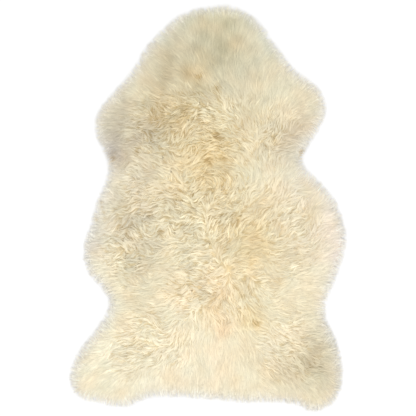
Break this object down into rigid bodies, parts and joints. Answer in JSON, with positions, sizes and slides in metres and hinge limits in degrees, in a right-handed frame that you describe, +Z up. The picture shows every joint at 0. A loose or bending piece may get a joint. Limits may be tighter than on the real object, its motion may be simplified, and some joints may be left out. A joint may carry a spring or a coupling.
{
  "type": "sheepskin rug",
  "caption": "Ivory sheepskin rug: one whole pelt with its long wool on, in the natural outline of neck, legs and belly, lying flat on the floor wool side up.",
  "frame": {"origin": "on the floor, under the middle of the pelt's outline, on the flat underside of the hide", "axes": "+Z up out of the wool, +Y along the back towards the neck, +X to the right of the pelt seen from above with the neck at the top"},
  "size_m": [0.6786, 0.9948, 0.0447],
  "materials": {
    "wool": "natural ivory to straw wool, long, soft and wavy, matt with a light sheen",
    "hide": "undyed tanned hide, suede on its flesh side, matt"
  },
  "bodies": {
    "root": {"sheepskin": "wool"}
  },
  "joints": []
}
